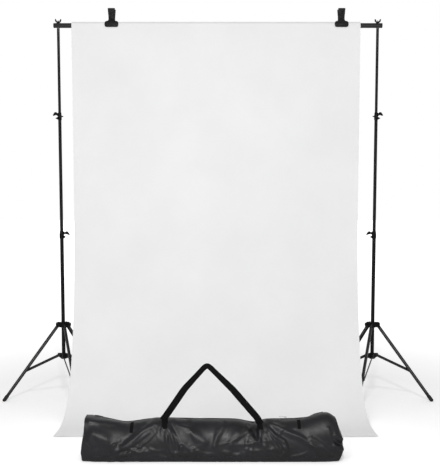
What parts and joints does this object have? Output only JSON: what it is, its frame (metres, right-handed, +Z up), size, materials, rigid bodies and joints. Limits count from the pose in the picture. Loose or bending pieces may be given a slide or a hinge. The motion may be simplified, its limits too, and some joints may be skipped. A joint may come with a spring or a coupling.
{
  "type": "background support system",
  "caption": "Photo studio background support: telescoping tripod stands carrying a crossbar, spring clips, a white sweep backdrop and a carry bag.",
  "frame": {"origin": "on the floor, at the centre of the area that the whole kit covers, which is 0.459 m in front of the line between the columns", "axes": "+Z up, +X to the right of someone facing the front of the sheet, -Y towards that person"},
  "size_m": [2.7618, 1.581, 2.4435],
  "materials": {
    "black_tube": "satin black powder coat",
    "black_plastic": "moulded, satin",
    "clip_plastic": "moulded, lightly textured",
    "steel": "zinc plated",
    "rubber": "matt",
    "white_fabric": "non-woven, matt",
    "black_nylon": "coated nylon, slight sheen",
    "webbing": "woven polypropylene"
  },
  "bodies": {
    "root": {"left_lower_tube": "black_tube", "left_brace_hub": "black_plastic", "left_lower_lock": "black_plastic", "right_lower_tube": "black_tube", "right_brace_hub": "black_plastic", "right_lower_lock": "black_plastic", "backdrop": "white_fabric"},
    "left_leg_hub": {"left_leg_hub": "black_plastic"},
    "left_hub_knob": {"left_hub_knob": "black_plastic"},
    "left_outer_leg": {"left_outer_leg": "black_tube", "left_outer_foot_cap": "rubber"},
    "left_outer_brace": {"left_outer_brace": "black_tube"},
    "left_rear_leg": {"left_rear_leg": "black_tube", "left_rear_foot_cap": "rubber"},
    "left_rear_brace": {"left_rear_brace": "black_tube"},
    "left_front_leg": {"left_front_leg": "black_tube", "left_front_foot_cap": "rubber"},
    "left_front_brace": {"left_front_brace": "black_tube"},
    "left_lower_lock_lever": {"left_lower_lock_lever": "black_plastic"},
    "left_middle": {"left_middle_tube": "black_tube", "left_upper_lock": "black_plastic"},
    "left_upper_lock_lever": {"left_upper_lock_lever": "black_plastic"},
    "left_upper": {"left_upper_tube": "black_tube", "left_stud": "steel", "crossbar_left_end": "black_tube", "crossbar_left_middle": "black_tube", "crossbar_right_middle": "black_tube", "crossbar_right_end": "black_tube", "crossbar_left_cap": "black_plastic", "crossbar_right_cap": "black_plastic"},
    "left_wing_nut": {"left_wing_nut": "black_plastic"},
    "right_leg_hub": {"right_leg_hub": "black_plastic"},
    "right_hub_knob": {"right_hub_knob": "black_plastic"},
    "right_outer_leg": {"right_outer_leg": "black_tube", "right_outer_foot_cap": "rubber"},
    "right_outer_brace": {"right_outer_brace": "black_tube"},
    "right_rear_leg": {"right_rear_leg": "black_tube", "right_rear_foot_cap": "rubber"},
    "right_rear_brace": {"right_rear_brace": "black_tube"},
    "right_front_leg": {"right_front_leg": "black_tube", "right_front_foot_cap": "rubber"},
    "right_front_brace": {"right_front_brace": "black_tube"},
    "right_lower_lock_lever": {"right_lower_lock_lever": "black_plastic"},
    "right_middle": {"right_middle_tube": "black_tube", "right_upper_lock": "black_plastic"},
    "right_upper_lock_lever": {"right_upper_lock_lever": "black_plastic"},
    "right_upper": {"right_upper_tube": "black_tube", "right_stud": "steel"},
    "right_wing_nut": {"right_wing_nut": "black_plastic"},
    "left_clip_pin": {"left_clip_pin": "steel", "left_clip_spring": "steel"},
    "left_clip_front": {"left_clip_front": "clip_plastic"},
    "left_clip_rear": {"left_clip_rear": "clip_plastic"},
    "right_clip_pin": {"right_clip_pin": "steel", "right_clip_spring": "steel"},
    "right_clip_front": {"right_clip_front": "clip_plastic"},
    "right_clip_rear": {"right_clip_rear": "clip_plastic"},
    "bag": {"bag_body": "black_nylon"},
    "bag_handle": {"bag_handle": "webbing"},
    "bag_zip_slider": {"bag_zip_slider": "steel"}
  },
  "joints": [
    {"name": "left_leg_hub_slide", "type": "slide", "parent": "root", "child": "left_leg_hub", "axis": [0, 0, 1], "range_m": [0, 0.42]},
    {"name": "left_hub_knob_turn", "type": "hinge", "parent": "left_leg_hub", "child": "left_hub_knob", "pos_m": [-0.94522, 0.45583, 0.505], "axis": [-0.9925, 0.1219, 0], "continuous": true},
    {"name": "left_outer_leg_fold", "type": "hinge", "parent": "left_leg_hub", "child": "left_outer_leg", "pos_m": [-1.00974, 0.46375, 0.497], "axis": [-0.1219, -0.9925, 0], "range_deg": [0, 36.14]},
    {"name": "left_outer_brace_fold", "type": "hinge", "parent": "root", "child": "left_outer_brace", "pos_m": [-1.00974, 0.46375, 0.306], "axis": [-0.1219, -0.9925, 0], "range_deg": [-114.2, 0]},
    {"name": "left_rear_leg_fold", "type": "hinge", "parent": "left_leg_hub", "child": "left_rear_leg", "pos_m": [-0.95394, 0.48744, 0.497], "axis": [-0.7986, 0.6018, 0], "range_deg": [0, 36.14]},
    {"name": "left_rear_brace_fold", "type": "hinge", "parent": "root", "child": "left_rear_brace", "pos_m": [-0.95394, 0.48744, 0.306], "axis": [-0.7986, 0.6018, 0], "range_deg": [-114.2, 0]},
    {"name": "left_front_leg_fold", "type": "hinge", "parent": "left_leg_hub", "child": "left_front_leg", "pos_m": [-0.96132, 0.42727, 0.497], "axis": [0.9205, 0.3907, 0], "range_deg": [0, 36.14]},
    {"name": "left_front_brace_fold", "type": "hinge", "parent": "root", "child": "left_front_brace", "pos_m": [-0.96132, 0.42727, 0.306], "axis": [0.9205, 0.3907, 0], "range_deg": [-114.2, 0]},
    {"name": "left_lower_lever_flip", "type": "hinge", "parent": "root", "child": "left_lower_lock_lever", "pos_m": [-0.955, 0.45948, 1.079], "axis": [0, -1, 0], "range_deg": [0, 60]},
    {"name": "left_middle_slide", "type": "slide", "parent": "root", "child": "left_middle", "axis": [0, 0, 1], "range_m": [-0.66, 0], "deforming": ["backdrop"]},
    {"name": "left_upper_lever_flip", "type": "hinge", "parent": "left_middle", "child": "left_upper_lock_lever", "pos_m": [-0.98838, 0.44462, 1.809], "axis": [-0.7431, 0.6691, 0], "range_deg": [0, 60]},
    {"name": "left_upper_slide", "type": "slide", "parent": "left_middle", "child": "left_upper", "axis": [0, 0, 1], "range_m": [-0.48, 0]},
    {"name": "left_wing_nut_turn", "type": "hinge", "parent": "left_upper", "child": "left_wing_nut", "pos_m": [-0.975, 0.45948, 2.362], "axis": [0, 0, 1], "continuous": true},
    {"name": "right_leg_hub_slide", "type": "slide", "parent": "root", "child": "right_leg_hub", "axis": [0, 0, 1], "range_m": [0, 0.42]},
    {"name": "right_hub_knob_turn", "type": "hinge", "parent": "right_leg_hub", "child": "right_hub_knob", "pos_m": [0.94522, 0.45583, 0.505], "axis": [-0.9925, -0.1219, 0], "continuous": true},
    {"name": "right_outer_leg_fold", "type": "hinge", "parent": "right_leg_hub", "child": "right_outer_leg", "pos_m": [1.00974, 0.46375, 0.497], "axis": [-0.1219, 0.9925, 0], "range_deg": [0, 36.14]},
    {"name": "right_outer_brace_fold", "type": "hinge", "parent": "root", "child": "right_outer_brace", "pos_m": [1.00974, 0.46375, 0.306], "axis": [-0.1219, 0.9925, 0], "range_deg": [-114.2, 0]},
    {"name": "right_rear_leg_fold", "type": "hinge", "parent": "right_leg_hub", "child": "right_rear_leg", "pos_m": [0.95394, 0.48744, 0.497], "axis": [-0.7986, -0.6018, 0], "range_deg": [0, 36.14]},
    {"name": "right_rear_brace_fold", "type": "hinge", "parent": "root", "child": "right_rear_brace", "pos_m": [0.95394, 0.48744, 0.306], "axis": [-0.7986, -0.6018, 0], "range_deg": [-114.2, 0]},
    {"name": "right_front_leg_fold", "type": "hinge", "parent": "right_leg_hub", "child": "right_front_leg", "pos_m": [0.96132, 0.42727, 0.497], "axis": [0.9205, -0.3907, 0], "range_deg": [0, 36.14]},
    {"name": "right_front_brace_fold", "type": "hinge", "parent": "root", "child": "right_front_brace", "pos_m": [0.96132, 0.42727, 0.306], "axis": [0.9205, -0.3907, 0], "range_deg": [-114.2, 0]},
    {"name": "right_lower_lever_flip", "type": "hinge", "parent": "root", "child": "right_lower_lock_lever", "pos_m": [0.955, 0.45948, 1.079], "axis": [0, 1, 0], "range_deg": [0, 60]},
    {"name": "right_middle_slide", "type": "slide", "parent": "root", "child": "right_middle", "axis": [0, 0, 1], "range_m": [-0.66, 0]},
    {"name": "right_upper_lever_flip", "type": "hinge", "parent": "right_middle", "child": "right_upper_lock_lever", "pos_m": [0.98838, 0.44462, 1.809], "axis": [-0.7431, -0.6691, 0], "range_deg": [0, 60]},
    {"name": "right_upper_slide", "type": "slide", "parent": "right_middle", "child": "right_upper", "axis": [0, 0, 1], "range_m": [-0.48, 0]},
    {"name": "right_wing_nut_turn", "type": "hinge", "parent": "right_upper", "child": "right_wing_nut", "pos_m": [0.975, 0.45948, 2.362], "axis": [0, 0, 1], "continuous": true},
    {"name": "left_clip_slide", "type": "slide", "parent": "left_upper", "child": "left_clip_pin", "axis": [1, 0, 0], "range_m": [-0.1, 0.1]},
    {"name": "left_clip_squeeze", "type": "hinge", "parent": "left_clip_pin", "child": "left_clip_front", "pos_m": [-0.647, 0.45948, 2.392], "axis": [-1, 0, 0], "range_deg": [0, 12], "stiffness_Nm_per_rad": 2},
    {"name": "left_clip_rear_squeeze", "type": "hinge", "parent": "left_clip_pin", "child": "left_clip_rear", "pos_m": [-0.647, 0.45948, 2.392], "axis": [1, 0, 0], "range_deg": [0, 12]},
    {"name": "right_clip_slide", "type": "slide", "parent": "left_upper", "child": "right_clip_pin", "axis": [1, 0, 0], "range_m": [-0.1, 0.1]},
    {"name": "right_clip_squeeze", "type": "hinge", "parent": "right_clip_pin", "child": "right_clip_front", "pos_m": [0.752, 0.45948, 2.392], "axis": [-1, 0, 0], "range_deg": [0, 12], "stiffness_Nm_per_rad": 2},
    {"name": "right_clip_rear_squeeze", "type": "hinge", "parent": "right_clip_pin", "child": "right_clip_rear", "pos_m": [0.752, 0.45948, 2.392], "axis": [1, 0, 0], "range_deg": [0, 12]},
    {"name": "bag_lift", "type": "slide", "parent": "root", "child": "bag", "axis": [0, 0, 1], "range_m": [0, 0.3]},
    {"name": "bag_handle_swing", "type": "hinge", "parent": "bag", "child": "bag_handle", "pos_m": [-0.028, -0.72552, 0.192], "axis": [1, 0, 0], "range_deg": [-80, 80]},
    {"name": "bag_zip_slide", "type": "slide", "parent": "bag", "child": "bag_zip_slider", "axis": [1, 0, 0], "range_m": [-0.76, 0.07]}
  ],
  "couplings": [
    {"joint": "left_outer_leg_fold", "follows": "left_leg_hub_slide", "rad_per_m": 1.4978},
    {"joint": "left_outer_brace_fold", "follows": "left_leg_hub_slide", "rad_per_m": -4.7415},
    {"joint": "left_rear_leg_fold", "follows": "left_leg_hub_slide", "rad_per_m": 1.4978},
    {"joint": "left_rear_brace_fold", "follows": "left_leg_hub_slide", "rad_per_m": -4.7415},
    {"joint": "left_front_leg_fold", "follows": "left_leg_hub_slide", "rad_per_m": 1.4978},
    {"joint": "left_front_brace_fold", "follows": "left_leg_hub_slide", "rad_per_m": -4.7415},
    {"joint": "right_outer_leg_fold", "follows": "right_leg_hub_slide", "rad_per_m": 1.4978},
    {"joint": "right_outer_brace_fold", "follows": "right_leg_hub_slide", "rad_per_m": -4.7415},
    {"joint": "right_rear_leg_fold", "follows": "right_leg_hub_slide", "rad_per_m": 1.4978},
    {"joint": "right_rear_brace_fold", "follows": "right_leg_hub_slide", "rad_per_m": -4.7415},
    {"joint": "right_front_leg_fold", "follows": "right_leg_hub_slide", "rad_per_m": 1.4978},
    {"joint": "right_front_brace_fold", "follows": "right_leg_hub_slide", "rad_per_m": -4.7415},
    {"joint": "right_middle_slide", "follows": "left_middle_slide", "ratio": 1},
    {"joint": "right_upper_slide", "follows": "left_upper_slide", "ratio": 1},
    {"joint": "left_clip_rear_squeeze", "follows": "left_clip_squeeze", "ratio": 1},
    {"joint": "right_clip_rear_squeeze", "follows": "right_clip_squeeze", "ratio": 1}
  ]
}
